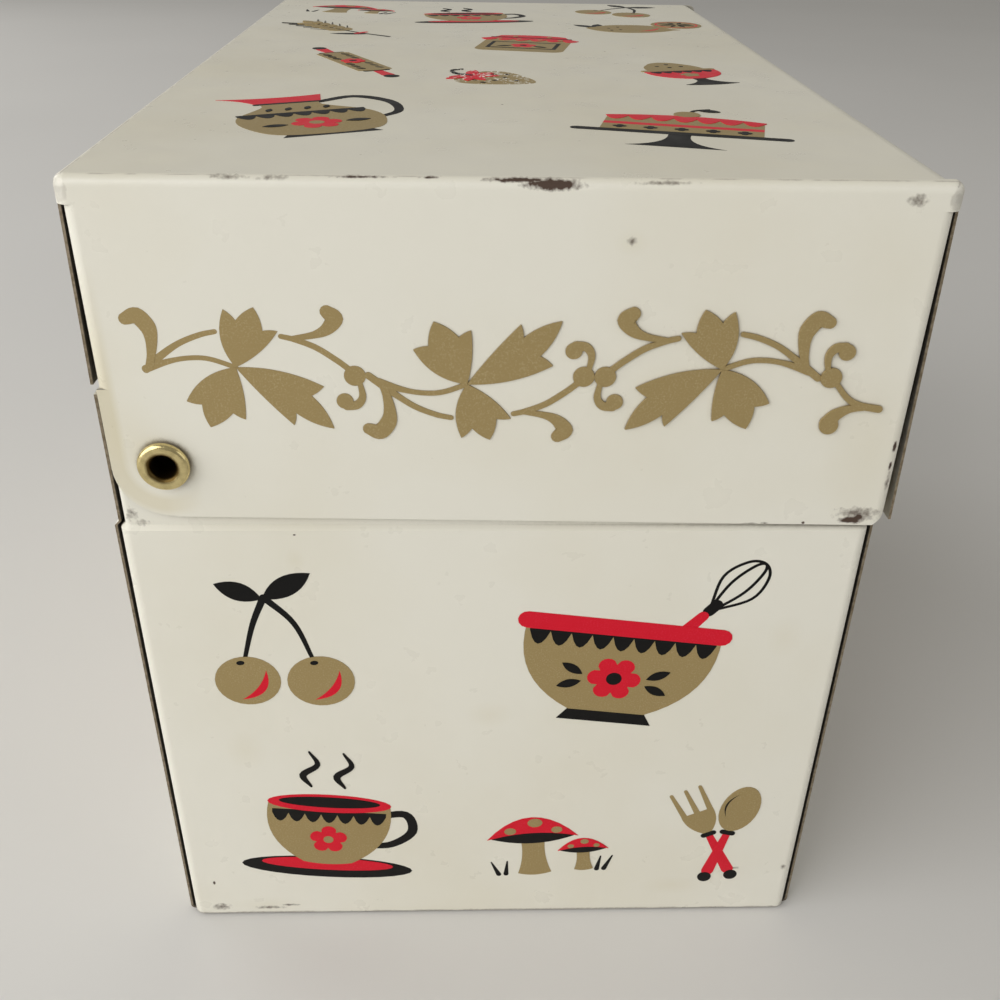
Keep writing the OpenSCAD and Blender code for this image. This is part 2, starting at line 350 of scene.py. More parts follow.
    # Bare metal where the enamel is gone: grey tin, rusting brown in patches
    rusting = add("Math MULTIPLY", [add("MapRange", [ragged, 0.42, 0.6]), 0.35])
    rusted = add("Math MAXIMUM", [chipped, rusting])
    scuffed = add("Mix", {0: rusted, 6: rgba("8B8079"), 7: rgba(settings.rust)}, **OF_COLOURS)
    # Rubbed places turn to bright tin; at the two top corners this is a painted highlight
    bright = add("MapRange", [rubbed_places_and_highlights, 0.2, 0.7])
    bare = add("Mix", {0: bright, 6: scuffed, 7: rgba(settings.steel)}, **OF_COLOURS)
    gone = add("Math MULTIPLY", [rubbed, 0.6])
    gone = add("Math MAXIMUM", [gone, add("Math MULTIPLY", [rubbed_places_and_highlights, 0.8])])
    gone = add("Math MAXIMUM", [gone, add("Math MAXIMUM", [chipped, specks])])
    outside = add("Mix", {0: gone, 6: enamel, 7: bare}, **OF_COLOURS)

    # Cut edges of the sheet, which the enamel never covered: the ends of the long walls, and the rims of
    # the lid's flaps and skirts, where the outermost 0.3 mm isn't turned outwards
    turned = add("VectorMath ABSOLUTE", [normal])
    turned_x, turned_y = (add("SeparateXYZ", [turned], out=axis) for axis in "XY")
    wall_end = add("Math GREATER_THAN", [turned_x, 0.9])
    cut = add("Math MULTIPLY", [wall_end, add("Math GREATER_THAN", [inset_x, 0.9])])
    if folds_up > 0:
        for across, facing in ((inset_x, turned_x), (inset_y, turned_y)):
            outermost = add("Math LESS_THAN", [across, 0.31])
            rim = add("Math MULTIPLY", [outermost, add("Math LESS_THAN", [facing, 0.4])])
            cut = add("Math MAXIMUM", [cut, rim])
    dull = add("MapRange", [ragged, 0.4, 0.6])
    edge_tint = add("Mix", {0: dull, 6: rgba("6E6048"), 7: rgba("8C7F6A")}, **OF_COLOURS)
    # Painted shade darkens the cut edges in narrow places too, together with the dirt there
    edge_tint = add("Mix", {0: grime_and_painted_shade, 6: edge_tint, 7: rgba("3A2F28")}, **OF_COLOURS)
    outside = add("Mix", {0: cut, 6: outside, 7: edge_tint}, **OF_COLOURS)

    # Inside faces look towards the middle of the shell
    turned_out = add("VectorMath DOT_PRODUCT", [normal, from_centre], out="Value")
    height = add("SeparateXYZ", [place], out="Z")
    below_hem = add("Math LESS_THAN", [height, (high.z - hem) / MM])
    inside = add("Math MULTIPLY", [add("Math LESS_THAN", [turned_out, 0]), below_hem])
    dull = add("MapRange", [patches, 0.35, 0.7])
    tin = add("Mix", {0: dull, 6: rgba(settings.steel), 7: rgba("ABA598")}, **OF_COLOURS)
    # Painted shade darkens the inside in its corners and seams, together with the dirt there
    tin = add("Mix", {0: grime_and_painted_shade, 6: tin, 7: rgba("1E1814")}, **OF_COLOURS)
    colour = add("Mix", {0: inside, 6: outside, 7: tin}, **OF_COLOURS)

    # Gloss: enamel about 0.3, worn and rusty places dull, tinplate between
    worn_gloss = add("Math MULTIPLY_ADD", [gone, 0.4, add("MapRange", [patches, 0.3, 0.7, 0.26, 0.4])])
    tin_gloss = add("MapRange", [patches, 0.3, 0.7, 0.4, 0.58])
    roughness = add("Mix", {0: inside, 2: worn_gloss, 3: tin_gloss})
    # Tinplate goes dull under its film of oxide, and in a narrow place dirt and painted shade hide the metal
    shining = add("Math MULTIPLY", [inside, add("MapRange", [grime_and_painted_shade, 0, 0.6, 0.75, 0.2])])
    # Rubbed places are half metal; at the two top corners this is part of the painted highlight
    metal = add("Math MAXIMUM", [add("Math MULTIPLY", [rubbed_places_and_highlights, 0.5]), shining])

    # Relief in metres: the sheet waves by 0.05 mm, the enamel has a faint orange peel, chips are sunk
    wave = add("Math MULTIPLY", [clouds, 0.05 * MM])
    peel = add("Math MULTIPLY_ADD", [ragged, 0.0012 * MM, wave])
    grain = add("Math MULTIPLY_ADD", [add("Math MULTIPLY", [grit, gone]), 0.02 * MM, peel])
    relief = add("Math MULTIPLY_ADD", [gone, -0.03 * MM, grain])
    bump = add("Bump", {"Height": relief, "Distance": 1.0})
    shader = add("BsdfPrincipled", {"Base Color": colour, "Roughness": roughness, "Metallic": metal,
                                    "Normal": bump})
    add("OutputMaterial", [shader])
    return material


def screen_ink(name, colour, sheen_metal, gloss, speck_hex):
    """One screen-printed ink.

    Screen ink is stoved onto the enamel as a film with a soft gloss of its own. The gold is bronze powder
    in varnish: matt, a little metallic, with bright and dark grains. Red and black are plain gloss inks.
    Where a print is worn, the film has flaked off in specks, and the enamel shows.
    """
    enamel = bpy.context.scene.card_box_enamel
    material, add = new_material(name)
    place = here_mm(add)
    # Powder grains are about 0.03 mm and are drawn at 0.2 mm, so that they show
    grains = add("TexNoise", {"Vector": place, "Scale": 1 / 0.2, "Detail": 2})
    mottle = add("TexNoise", {"Vector": place, "Scale": 1 / 2.5, "Detail": 3})
    clusters = add("MapRange", [mottle, 0.35, 0.65, 0.2, 0.7])
    flecks = add("Math MULTIPLY", [add("MapRange", [grains, 0.5, 0.72]), clusters])
    tint = add("Mix", {0: flecks, 6: rgba(colour), 7: rgba(speck_hex)}, **OF_COLOURS)

    worn = add("Attribute", out="Fac", attribute_name="wear")
    flakes = add("TexNoise", {"Vector": place, "Scale": 1 / 0.45, "Detail": 5})
    kept = add("Math SUBTRACT", [add("Math MULTIPLY_ADD", [mottle, 0.5, flakes]), worn])
    flaked = add("MapRange", [kept, 0.34, 0.28])
    body = add("Mix", {0: flaked, 6: tint, 7: rgba(enamel.clean)}, **OF_COLOURS)
    metal = add("MapRange", [flaked, 0, 1, sheen_metal, 0])
    rough = add("MapRange", [mottle, 0.3, 0.7, gloss - 0.05, gloss + 0.07])
    relief = add("Math MULTIPLY", [grains, 0.002 * MM])
    bump = add("Bump", {"Height": relief, "Distance": 1.0})
    # A pigmented screen ink has a lower index than enamel, and its matt top gives back less light
    shader = add("BsdfPrincipled", {"Base Color": body, "Metallic": metal, "Roughness": rough, "IOR": 1.4,
                                    "Specular IOR Level": 0.3, "Normal": bump})
    add("OutputMaterial", [shader])
    return material


def aged_brass():
    """Rolled brass strip, gone brown-green with age and rubbed bright on the crown of the roll."""
    settings = bpy.context.scene.card_box_brass
    material, add = new_material("aged_rolled_brass")
    place = here_mm(add)
    patches = add("TexNoise", {"Vector": place, "Scale": 1 / 0.9, "Detail": 4})
    grit = add("TexNoise", {"Vector": place, "Scale": 1 / 0.12, "Detail": 3})
    radial = add("VectorMath MULTIPLY_ADD", [place, (0, 1, 1), (0, -HINGE.y / MM, -HINGE.z / MM)])
    radius = add("VectorMath LENGTH", [radial], out="Value")
    # The roll's crown lies 0.7 mm inside its outer edge; the tarnish is thickest inwards of it
    crown = (EYELET_HIGH.y - EYELET_LOW.y) / 2 / MM - 0.7
    dirt = add("Math MULTIPLY_ADD", [patches, 0.7, add("MapRange", [radius, crown - 0.1, crown - 0.6])])
    dirt = add("MapRange", [dirt, 0.3, 0.95])
    colour = add("Mix", {0: dirt, 6: rgba(settings.bright), 7: rgba(settings.tarnish)}, **OF_COLOURS)
    rough = add("MapRange", [dirt, 0, 1, 0.2, 0.42])
    relief = add("Math MULTIPLY", [grit, 0.006 * MM])
    bump = add("Bump", {"Height": relief, "Distance": 1.0})
    shader = add("BsdfPrincipled", {"Base Color": colour, "Metallic": 1.0, "Roughness": rough,
                                    "Normal": bump})
    add("OutputMaterial", [shader])
    return material


# Flat outlines, in millimetres

# Straight stretches in an ellipse, a bowed side and each part of a smooth line
ROUND_STEPS, BOW_STEPS, SMOOTH_STEPS = 28, 10, 6
# The same for a stroke's round end, one petal and one scallop
CAP_STEPS, PETAL_STEPS, SCALLOP_STEPS = 6, 8, 6


def signed_area(ring):
    """Area of a ring, below 0 where it runs clockwise."""
    return sum(a[0] * b[1] - b[0] * a[1] for a, b in zip(ring, ring[1:] + ring[:1])) / 2


def outline(*corners):
    """A ring through corners (x, y, bow). A side bows outwards by that share of its length."""
    ring = []
    outwards = -1 if signed_area(corners) < 0 else 1
    for (x, y, bow), (next_x, next_y, _) in zip(corners, corners[1:] + corners[:1]):
        start, end = Vector((x, y)), Vector((next_x, next_y))
        control = (start + end) / 2 + 2 * bow * outwards * Vector((next_y - y, x - next_x))
        steps = BOW_STEPS if bow else 1
        for i in range(steps):
            t = i / steps
            ring.append(start * (1 - t) ** 2 + control * 2 * t * (1 - t) + end * t * t)
    return ring


def block(foot, half_foot, top, half_top):
    """A ring with a level foot and top, each given by its height and half its width."""
    return outline((-half_foot, foot, 0), (half_foot, foot, 0), (half_top, top, 0), (-half_top, top, 0))


def ellipse(x, y, half_width, half_height=None):
    """An ellipse or circle about x, y."""
    half_height = half_width if half_height is None else half_height
    angles = [2 * math.pi * i / ROUND_STEPS for i in range(ROUND_STEPS)]
    return [Vector((x, y)) + Vector((half_width * math.cos(a), half_height * math.sin(a))) for a in angles]


def smooth(points, closed=False):
    """A smooth line through the points."""
    points = [Vector(p) for p in points]
    if closed:
        line = [points[-1], *points, points[0], points[1]]
    else:
        line = [2 * points[0] - points[1], *points, 2 * points[-1] - points[-2]]
    made = []
    for a, b, c, d in zip(line, line[1:], line[2:], line[3:]):
        for i in range(SMOOTH_STEPS):
            t = i / SMOOTH_STEPS
            made.append(0.5 * (2 * b + (c - a) * t + (2 * a - 5 * b + 4 * c - d) * t * t
                               + (3 * b - a - 3 * c + d) * t ** 3))
    return made if closed else [*made, points[-1]]


def stroke(points, *widths):
    """A stroke through the points, round at both ends. The widths are spread evenly along it."""
    line = smooth(points) if len(points) > 2 else [Vector(p) for p in points]
    last = len(line) - 1
    widths = widths if len(widths) > 1 else 2 * widths
    left, right = [], []
    for i, p in enumerate(line):
        along = (line[min(i + 1, last)] - line[max(i - 1, 0)]).normalized()
        share = i / last * (len(widths) - 1)
        k = min(int(share), len(widths) - 2)
        width = widths[k] + (widths[k + 1] - widths[k]) * (share - k)
        side = Vector((-along.y, along.x)) * width / 2
        left.append(p + side)
        right.append(p - side)
    caps = []
    for end, first in ((line[-1], right[-1]), (line[0], left[0])):
        caps.append([end + Matrix.Rotation(math.pi * i / CAP_STEPS, 2) @ (first - end)
                     for i in range(1, CAP_STEPS)])
    return [*right, *caps[0], *reversed(left), *caps[1]]


def petals(x, y, radius, count, depth, turn=0):
    """A flower of round petals."""
    steps = count * PETAL_STEPS
    ring = []
    for i in range(steps):
        a = 2 * math.pi * i / steps
        r = radius * (1 - depth + depth * abs(math.cos(count * a / 2)) ** 0.6)
        ring.append(Vector((x + r * math.cos(a + turn), y + r * math.sin(a + turn))))
    return ring


def scallops(x0, x1, y, drop, count):
    """A trim along the line from x0 to x1 at y, with round scallops hanging from it."""
    steps = count * SCALLOP_STEPS
    hanging = [
        Vector((x0 + (x1 - x0) * i / steps, y - drop * abs(math.sin(math.pi * count * i / steps)) ** 0.8))
        for i in range(steps + 1)
    ]
    return [*hanging, Vector((x1, y + drop * 0.45)), Vector((x0, y + drop * 0.45))]


def leaf(x, y, length, turn, bow=0.2):
    """A pointed leaf from x, y."""
    spin = Matrix.Rotation(math.radians(turn), 2)
    return [Vector((x, y)) + spin @ p for p in outline((0, 0, bow), (length, 0, bow))]


def placed(shapes, x, y, turn=0, size=1, flip=1, rise=1):
    """The shapes turned by degrees, scaled, mirrored with flip -1 or turned over with rise -1, and moved."""
    spin = Matrix.Rotation(math.radians(turn), 2)
    return [(ink, [Vector((x, y)) + spin @ Vector((p.x * size * flip, p.y * size * rise)) for p in ring])
            for ink, ring in shapes]


# Leaf border: a scrolling stem with lobed leaves, in units that turn over one after the other

UNIT_LEFT, UNIT_RIGHT = 10.9, 11.4
UNIT_RISE = 0.85
BEAD = 1.05
START, TAIL = 8.6, 5.8


def lobed_leaf(length, turn, right_side, left_side):
    """A leaf of three pointed lobes from the origin, its middle lobe turned by degrees.

    Each side is (share of the length, degrees) of its lobe's tip and of its notch, then the side's bow.
    """
    (tip_a, angle_a), (notch_a, gap_a), bow_a = right_side
    (tip_b, angle_b), (notch_b, gap_b), bow_b = left_side
    corners = []
    for share, angle, bow in ((0, 0, bow_a), (tip_a, -angle_a, 0.06), (notch_a, -gap_a, 0.07), (1, 0, 0.07),
                              (notch_b, gap_b, 0.06), (tip_b, angle_b, bow_b)):
        a = math.radians(turn + angle)
        corners.append((length * share * math.cos(a), length * share * math.sin(a), bow))
    return GOLD, outline(*corners)


def border_unit(first):
    """One unit of the border: leaves about the origin, the stems that reach them, two curls."""
    lead = [(-START, -0.3)] if first else [(1.3 - UNIT_LEFT, -0.9), (-START, -0.1)]
    strokes = [
        stroke([*lead, (-7.2, 1), (-5.2, 2.4), (-3.1, 3.3), (-1.6, 3.65)], 0.7, 0.75, 0.6, 0.55, 0.5),
        stroke([(-START, -0.2), (-6.3, 0.6), (-4.3, 0.95), (-2.4, 0.85), (0, 0)], 0.8, 0.5, 0.5, 0.5),
        stroke([(4.6, 3.2), (5.8, 2.9), (7.8, 2.1), (9.7, 0.8), (UNIT_RIGHT - 0.6, -0.1)], 0.5, 0.6, 0.6),
        stroke([(-8.3, -0.1), (-7.9, 1.2), (-7.65, 2.8), (-7.8, 4.1), (-8.7, 5.2), (-9.8, 4.9)],
               0.7, 0.8, 1.15, 1.6, 1.7, 1.2),
        stroke([(5.6, 3), (7.7, 3.35), (9, 3.95), (9.75, 5), (9.1, 5.7)], 0.45, 0.7, 1.2, 1.75, 1.3),
    ]
    leaves = [
        lobed_leaf(6.5, 69.5, ((0.88, 29), (0.73, 17.5), 0.07), ((0.91, 26), (0.74, 14.5), 0.14)),
        lobed_leaf(7.2, -116, ((0.875, 29), (0.755, 17), 0.13), ((0.78, 30), (0.69, 17), 0.05)),
        lobed_leaf(11.2, -36, ((0.72, 14.5), (0.65, 6), 0.02), ((0.765, 22.5), (0.685, 13), 0.07)),
    ]
    return [(GOLD, s) for s in strokes] + leaves


def border_joint(side):
    """A bead between two units, with a small curl ending in a ball on one side."""
    line = [(0.45, side * 0.7), (0.65, side * 2.2), (0.1, side * 3.1), (-0.9, side * 3.2)]
    return [(GOLD, ellipse(0, 0, BEAD)), (GOLD, stroke(line, 0.45, 0.8, 1)),
            (GOLD, ellipse(-1.1, side * 2.7, 0.82))]


def border_tail():
    """The end of the border: a bead, a last stretch of stem and a curl under it."""
    stem = stroke([(0.6, -0.6), (2, -2.2), (3.4, -3), (TAIL - 0.4, -3.4)], 0.5, 0.65, 0.75)
    curl = stroke([(4, -3.2), (2.4, -3.4), (1.1, -4.1), (0.5, -5)], 0.6, 0.8, 1.3, 1.7)
    return [(GOLD, stem), (GOLD, curl), (GOLD, ellipse(0.65, -5.25, 0.95)),
            *placed(border_joint(1), 0, 0, flip=-1)]


def leaf_border(count):
    """A border of that many units, centred; the last is mirrored, and one joint in two has two beads."""
    shapes, x = [], START - UNIT_LEFT
    for i in range(count):
        rise = -1 if i % 2 else 1
        last = i == count - 1
        x += UNIT_RIGHT if last else UNIT_LEFT
        shapes += placed(border_unit(i == 0), x, UNIT_RISE * rise, flip=-1 if last else 1, rise=rise)
        x += UNIT_LEFT if last else UNIT_RIGHT
        if last:
            shapes += placed(border_tail(), x, 0, rise=rise)
        elif i % 2:
            shapes += placed(border_joint(1), x, 0) + placed(border_joint(-1), x + 2 * BEAD, 0, flip=-1)
            x += 2 * BEAD
        else:
            shapes += placed(border_joint(-1), x, 0)
    return placed(shapes, -(x + TAIL) / 2, 0)


# Kitchen motifs, each about its own middle


def mixing_bowl():
    return [
        (BLACK, block(-8.6, 5.6, -6.6, 4.3)),
        (GOLD, outline((-11, 5, 0.17), (-4.5, -7, 0), (4.5, -7, 0.17), (11, 5, 0))),
        (BLACK, scallops(-10.6, 10.6, 3.9, 1.9, 9)),
        (RED, stroke([(-11, 5.2), (11, 5.2)], 2.2)),
        (RED, petals(0, -2, 3.1, 6, 0.34)),
        (BLACK, ellipse(0, -2, 0.9)),
        *[(BLACK, leaf(s * 3.7, -1.7 - dy, 2.9, 90 - s * turn, 0.2)) for s in (-1, 1)
          for dy, turn in ((0, 62), (1, 112))],
    ]


def whisk():
    wires = [
        stroke([(-0.3, 0.5), (-w, 5), (-w * 0.7, 8.6), (0, 9.8), (w * 0.7, 8.6), (w, 5), (0.3, 0.5)], 0.4)
        for w in (2.7, 1.2)
    ]
    return [*[(BLACK, w) for w in wires], (BLACK, stroke([(0, 0), (0, 1.4)], 1.6)),
            (RED, stroke([(0, -1), (0, -7.5)], 1.5, 2)), (BLACK, ellipse(0, -9, 1.05))]


def cup_and_saucer():
    return [
        (BLACK, ellipse(0, -5.4, 9.6, 1.7)),
        (RED, ellipse(0, -4.9, 7.4, 1)),
        (BLACK, stroke([(5, 3), (8.3, 3.6), (9.2, 1), (7, -1.2), (4, -1.6)], 0.9, 1.1, 0.8)),
        (GOLD, outline((-6.6, 4.6, 0.16), (-2.7, -4.6, 0.06), (2.7, -4.6, 0.16), (6.6, 4.6, 0))),
        (BLACK, scallops(-6.2, 6.2, 3, 1.3, 7)),
        (RED, ellipse(0, 4.7, 6.7, 1.35)),
        (BLACK, ellipse(0, 4.9, 5.5, 0.8)),
        (RED, petals(0, -0.9, 2.1, 5, 0.36, math.pi / 2)),
        (GOLD, ellipse(0, -0.9, 0.55)),
        *[(BLACK, stroke([(x, 7.2), (x - 0.9, 8.8), (x + 0.6, 10.4), (x - 0.3, 12.2)], 0.25, 0.8, 0.6, 0.2))
          for x in (-2, 1.6)],
    ]


def rolling_pin():
    ends = []
    for s in (-1, 1):
        ends += [(RED, stroke([(s * 9, 0), (s * 13, 0)], 1.4, 2)), (BLACK, ellipse(s * 14.2, 0, 1.15)),
                 (BLACK, stroke([(s * 8.9, -1.7), (s * 8.9, 1.7)], 0.9))]
    marks = [(BLACK, leaf(x, y, 1.7, 32, 0.22)) for y in (-1.9, 1.1) for x in (-7.4, -5.4, -3.4, 2, 4, 6)]
    roller = outline((-8.4, -2.7, 0), (8.4, -2.7, 0.1), (8.4, 2.7, 0), (-8.4, 2.7, 0.1))
    return [*ends, (GOLD, roller), *marks, (RED, petals(0, 0, 1.9, 6, 0.34)), (BLACK, ellipse(0, 0, 0.6))]


def cherries():
    shapes = [(BLACK, stroke([(0.4, 7.4), (-1.6, 4), (-3.6, -0.6)], 0.8, 0.45)),
              (BLACK, stroke([(0.4, 7.4), (2.8, 3.6), (3.8, -1.6)], 0.8, 0.45)),
              (BLACK, leaf(0.2, 7.2, 6.2, 24, 0.2)), (BLACK, leaf(0.2, 7.2, 5.2, 150, 0.22))]
    for x, y, r in ((-3.9, -3.4, 3.6), (4, -4.6, 3.7)):
        shapes += [(GOLD, ellipse(x, y, r, r * 0.94)),
                   (RED, outline((x - 1.2, y - 2.5, 0.28), (x + 2.3, y + 1.2, -0.1))),
                   (BLACK, ellipse(x - 0.2, y + r * 0.72, 0.45, 0.3))]
    return shapes


def mushrooms():
    shapes = [(BLACK, stroke([(x, -6.4), (x + lean, -3.9)], 0.7, 0.2)) for x, lean in
              ((-6.4, -0.9), (-5.4, 0.3), (7.2, 0.6), (8.2, 1.2))]
    for x, y, size in ((-1.4, 0, 1), (5.4, -2.6, 0.56)):
        single = [
            (GOLD, outline((-1.6, 0, -0.05), (-2.3, -6.4, 0.1), (2.3, -6.4, -0.05), (1.6, 0, 0))),
            (BLACK, outline((-5.6, 0.6, 0.1), (5.6, 0.6, 0.1))),
            (RED, outline((6.2, 0.5, 0.32), (-6.2, 0.5, -0.08))),
            *[(GOLD, ellipse(dx, dy, r, r * 0.8)) for dx, dy, r in
              ((-3, 2, 0.8), (0.4, 3.4, 1), (3.3, 1.9, 0.75))],
        ]
        shapes += placed(single, x, y, size=size)
    return shapes


def spoon():
    return [(RED, stroke([(0, -1.5), (0, -9)], 1, 1.7)), (BLACK, ellipse(0, -10.3, 0.95)),
            (BLACK, stroke([(-0.7, -1.2), (0.7, -1.2)], 0.8)), (GOLD, ellipse(0, 3.4, 2.6, 4.2)),
            (BLACK, outline((-1.3, 1.6, -0.16), (-1, 6, 0.22)))]


def fork():
    tines = [(GOLD, stroke([(x, 2.6), (x * 1.12, 7.8)], 0.85, 0.5)) for x in (-1.8, 0, 1.8)]
    return [(RED, stroke([(0, -1.5), (0, -9)], 1, 1.7)), (BLACK, ellipse(0, -10.3, 0.95)),
            (GOLD, outline((-2.25, 3.4, 0.12), (-0.5, -0.9, 0), (0.5, -0.9, 0.12), (2.25, 3.4, 0))), *tines,
            (BLACK, stroke([(-0.7, -1.2), (0.7, -1.2)], 0.8))]


def fork_and_spoon():
    return placed(fork(), -1.7, 0, 20) + placed(spoon(), 1.7, 0, -20)


def bowl_and_whisk():
    return placed(whisk(), 8.6, 8.6, -34, 0.85) + mixing_bowl()


def lemons():
    slice_parts = [(BLACK, leaf(0.5 * math.cos(a), 0.5 * math.sin(a), 2.7, math.degrees(a), 0.12))
                   for a in [2 * math.pi * i / 8 for i in range(8)]]
    return [
        (BLACK, leaf(-6.6, 2.9, 5, 118, 0.2)), (BLACK, leaf(-6.6, 2.9, 4.4, 62, 0.22)),
        (GOLD, outline((-8.6, 3, 0.2), (-3, -4.6, 0.1), (4.6, -3.6, 0.04), (6, -3.6, 0.04), (5, -2, 0.2),
                       (-0.6, 4.6, 0.14), (-6.8, 3.6, 0.1))),
        (RED, outline((-1.6, -3, 0.2), (3.4, -0.6, -0.08))),
        *[(BLACK, ellipse(x, y, 0.25)) for x, y in ((-5, 1.5), (-3.8, -0.6), (-2.9, 2.3), (-5.6, -0.9))],
        *placed([(GOLD, ellipse(0, 0, 4.4)), (RED, ellipse(0, 0, 3.75)), (GOLD, ellipse(0, 0, 3.4)),
                 *slice_parts], 8.4, 2.2),
    ]


def cake_stand():
    return [
        (BLACK, outline((-4.6, -9.4, 0), (4.6, -9.4, -0.2), (1.1, -4, 0), (-1.1, -4, -0.2))),
        (BLACK, stroke([(-10, -3.6), (10, -3.6)], 1.2)),
        (GOLD, block(-3, 7.8, 3.4, 7.8)),
        (RED, block(-0.7, 7.8, 0.3, 7.8)),
        *[(BLACK, petals(x, -1.8, 0.7, 4, 0.4)) for x in (-6, -3, 0, 3, 6)],
        (RED, [*scallops(-8, 8, 3.2, 1.7, 7)[:-2], *outline((8, 3.2, 0.08), (-8, 3.2, 0))[:10]]),
        (BLACK, stroke([(0.2, 5.8), (0.6, 7.6), (2, 8.6)], 0.35)),
        (GOLD, ellipse(0, 5.4, 1.35)), (BLACK, leaf(0.9, 8, 2.4, -8, 0.24)),
    ]


def jam_jar():
    return [
        (GOLD, outline((-5.2, 3.6, 0.1), (-6.4, 1, 0), (-6.4, -7, 0.18), (-5, -8.6, 0), (5, -8.6, 0.18),
                       (6.4, -7, 0), (6.4, 1, 0.1), (5.2, 3.6, 0))),
        (BLACK, block(-6, 5.1, 0.2, 5.1)),
        (GOLD, block(-5.4, 4.5, -0.4, 4.5)),
        (RED, petals(0, -3.1, 1.9, 5, 0.36, math.pi / 2)), (BLACK, ellipse(0, -3.1, 0.5)),
        (BLACK, leaf(-1.6, -3.6, 2.3, 205)), (BLACK, leaf(1.6, -3.6, 2.3, -25)),
        (RED, [*scallops(-7.4, 7.4, 2.9, 1.5, 6)[:-2],
               *outline((7.4, 2.9, -0.1), (5, 6.2, 0.1), (-5, 6.2, -0.1), (-7.4, 2.9, 0))[:30]]),
        (BLACK, stroke([(-5.9, 4.4), (5.9, 4.4)], 0.55)),
        *[(GOLD, ellipse(x, y, 0.42)) for x, y in
          ((-4.6, 2.9), (-1.6, 2.7), (1.6, 2.7), (4.6, 2.9), (-2.6, 5.5), (2.6, 5.5))],
    ]


def egg_cup():
    return [
        (GOLD, outline((-4.2, 1, 0), (4.2, 1, 0.13), (2.7, 7, 0.13), (0, 8.8, 0.13), (-2.7, 7, 0.13))),
        *[(BLACK, ellipse(x, y, 0.32)) for x, y in ((-1.6, 5.6), (0.4, 6.8), (1.9, 4.9), (-0.2, 4.3))],
        (BLACK, outline((-4, -9, 0.08), (4, -9, -0.12), (0.9, -6, 0), (0.9, -4, 0), (-0.9, -4, 0),
                        (-0.9, -6, -0.12))),
        (RED, outline((-5.4, 2, 0.2), (-1.6, -4.6, 0.1), (1.6, -4.6, 0.2), (5.4, 2, 0))),
        (GOLD, stroke([(-5.2, 1.9), (5.2, 1.9)], 1.1)),
        (BLACK, scallops(-4.7, 4.7, 0.7, 1.1, 6)),
        (GOLD, petals(0, -2.1, 1.4, 5, 0.36, math.pi / 2)),
    ]


def wheat():
    shapes = [(BLACK, stroke([(1.6, -11), (0.4, -5), (0, 2), (0.4, 8)], 0.8, 0.5, 0.3)),
              (BLACK, leaf(0.9, -7, 6.4, 140, 0.13)), (RED, stroke([(-0.5, -5.2), (1.6, -4.8)], 0.9))]
    for i in range(5):
        y = -1.6 + i * 2.2
        for s in (-1, 1):
            tilt = 90 - s * 34
            shapes += [(BLACK, stroke([(s * 1.2, y + 1.4), (s * 3.6, y + 5)], 0.3, 0.12)),
                       (GOLD, leaf(s * 0.25, y, 3.3, tilt, 0.26))]
    return [*shapes, (GOLD, leaf(0.4, 8.6, 3.4, 88, 0.26))]


def pitcher():
    body = smooth([(-2.6, 7.4), (-3.2, 4.4), (-6.8, 0), (-7, -4.6), (-4.2, -8.6), (4.2, -8.6), (7, -4.6),
                   (6.8, 0), (3.2, 4.4), (3.4, 7.4)], closed=True)
    return [
        (BLACK, stroke([(3, 5.6), (7.6, 7.2), (10.2, 3.4), (9.4, -1.6), (6.2, -4)], 1, 1.4, 1, 0.8)),
        (BLACK, block(-9.6, 4.8, -8, 3.8)),
        (GOLD, body),
        (RED, outline((-6.6, 10, -0.1), (-3.4, 6.2, 0), (3.6, 6.2, 0), (4.6, 9.6, -0.06))),
        (BLACK, stroke([(-3.4, 6), (3.6, 6)], 0.6)),
        (BLACK, scallops(-6.6, 6.6, 0.6, 1.4, 7)),
        (RED, petals(0, -4.2, 2.5, 6, 0.34)), (GOLD, ellipse(0, -4.2, 0.75)),
        *[(BLACK, leaf(s * 2.9, -4.4, 2.5, 90 - s * 90, 0.22)) for s in (-1, 1)],
        *[(BLACK, leaf(x, 2.2, 1.5, 60, 0.22)) for x in (-3.2, -1.2, 0.8, 2.8)],
    ]


def strawberry():
    places = ((-2.6, 1.2), (0, 1.7), (2.6, 1.2), (-1.4, -1.2), (1.4, -1.2), (0, -3.8), (-3.6, -0.6),
              (3.6, -0.4))
    seeds = [(BLACK, ellipse(x, y, 0.28, 0.42)) for x, y in places]
    return [(GOLD, smooth([(0, 3), (-3.2, 4), (-5.4, 1.6), (-3.8, -2.8), (0, -6.6), (3.8, -2.8), (5.4, 1.6),
                           (3.2, 4)], closed=True)), *seeds,
            *[(RED, leaf(0, 3.6, 4.2, a, 0.2)) for a in (-28, -62, -118, -152, 18, 162)],
            (BLACK, stroke([(0, 3.4), (0.4, 6), (2.2, 7.6), (3.8, 6.9)], 0.8, 0.5, 0.35))]


def sprig():
    return [(BLACK, stroke([(-4, -2.6), (-0.6, -0.4), (3.4, 0.6)], 0.3, 0.5, 0.3)),
            *[(BLACK, leaf(x, y, 2.8, a, 0.22)) for x, y, a in
              ((-2.4, -1.4, 80), (0, -0.2, 66), (-1.2, -0.8, -36), (1.4, 0.2, -40))],
            (BLACK, leaf(3.2, 0.6, 3, 14, 0.22)),
            (RED, ellipse(2.7, 2.6, 0.8)), (RED, ellipse(-3.6, 0.9, 0.65))]


# Printing


def face_place(origin, right, up=(0, 0, 1)):
    """Matrix from millimetres on a face (right, up, outwards) to the frame."""
    right, up = Vector(right).normalized(), Vector(up).normalized()
    place = Matrix((right, up, right.cross(up))).transposed().to_4x4()
    place.translation = origin
    return place @ Matrix.Scale(MM, 4)


